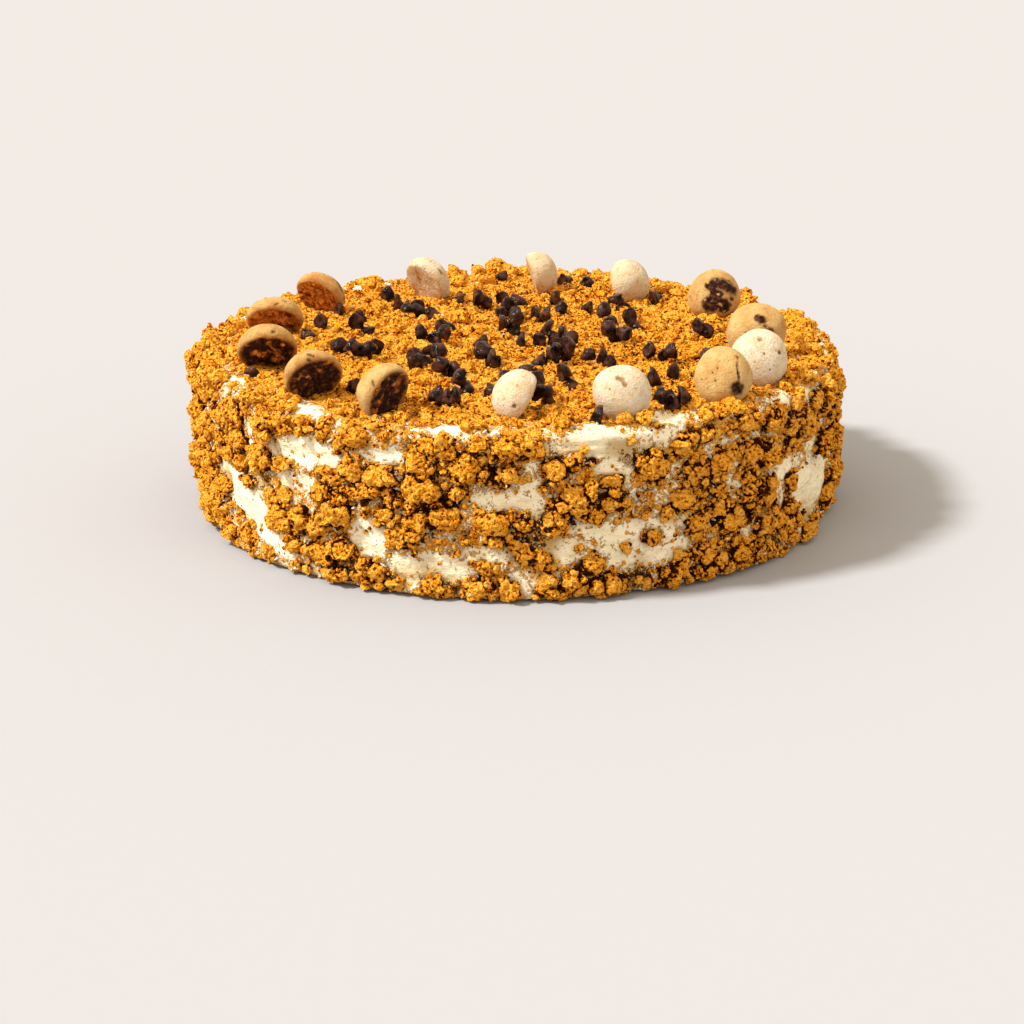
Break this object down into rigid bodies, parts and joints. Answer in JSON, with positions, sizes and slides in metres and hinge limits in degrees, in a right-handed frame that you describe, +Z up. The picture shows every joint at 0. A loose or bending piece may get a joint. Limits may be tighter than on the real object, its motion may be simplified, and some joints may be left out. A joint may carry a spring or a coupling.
{
  "type": "cookie cake",
  "caption": "Whole round cream cake coated in golden biscuit crumbs, topped with chocolate drops and a ring of small domed chocolate chip cookies.",
  "frame": {"origin": "centre of the cake's flat base, on the surface it stands on", "axes": "+Z up through the middle of the cake, +Y towards the back, +X to the right as seen from the front; the side seen in the picture faces -Y"},
  "size_m": [0.2551, 0.2527, 0.0818],
  "materials": {
    "crumb": "matte",
    "cream": "satin",
    "chocolate": "satin",
    "cookie_tan": "matte",
    "cookie_pale": "matte"
  },
  "bodies": {
    "root": {"cake": "crumb", "cookie_01": "cookie_tan", "cookie_02": "cookie_tan", "cookie_03": "cookie_tan", "cookie_04": "cookie_tan", "cookie_05": "cookie_tan", "cookie_06": "cookie_pale", "cookie_07": "cookie_pale", "cookie_08": "cookie_tan", "cookie_09": "cookie_pale", "cookie_10": "cookie_tan", "cookie_11": "cookie_tan", "cookie_12": "cookie_pale", "cookie_13": "cookie_pale", "cookie_14": "cookie_pale"}
  },
  "joints": []
}
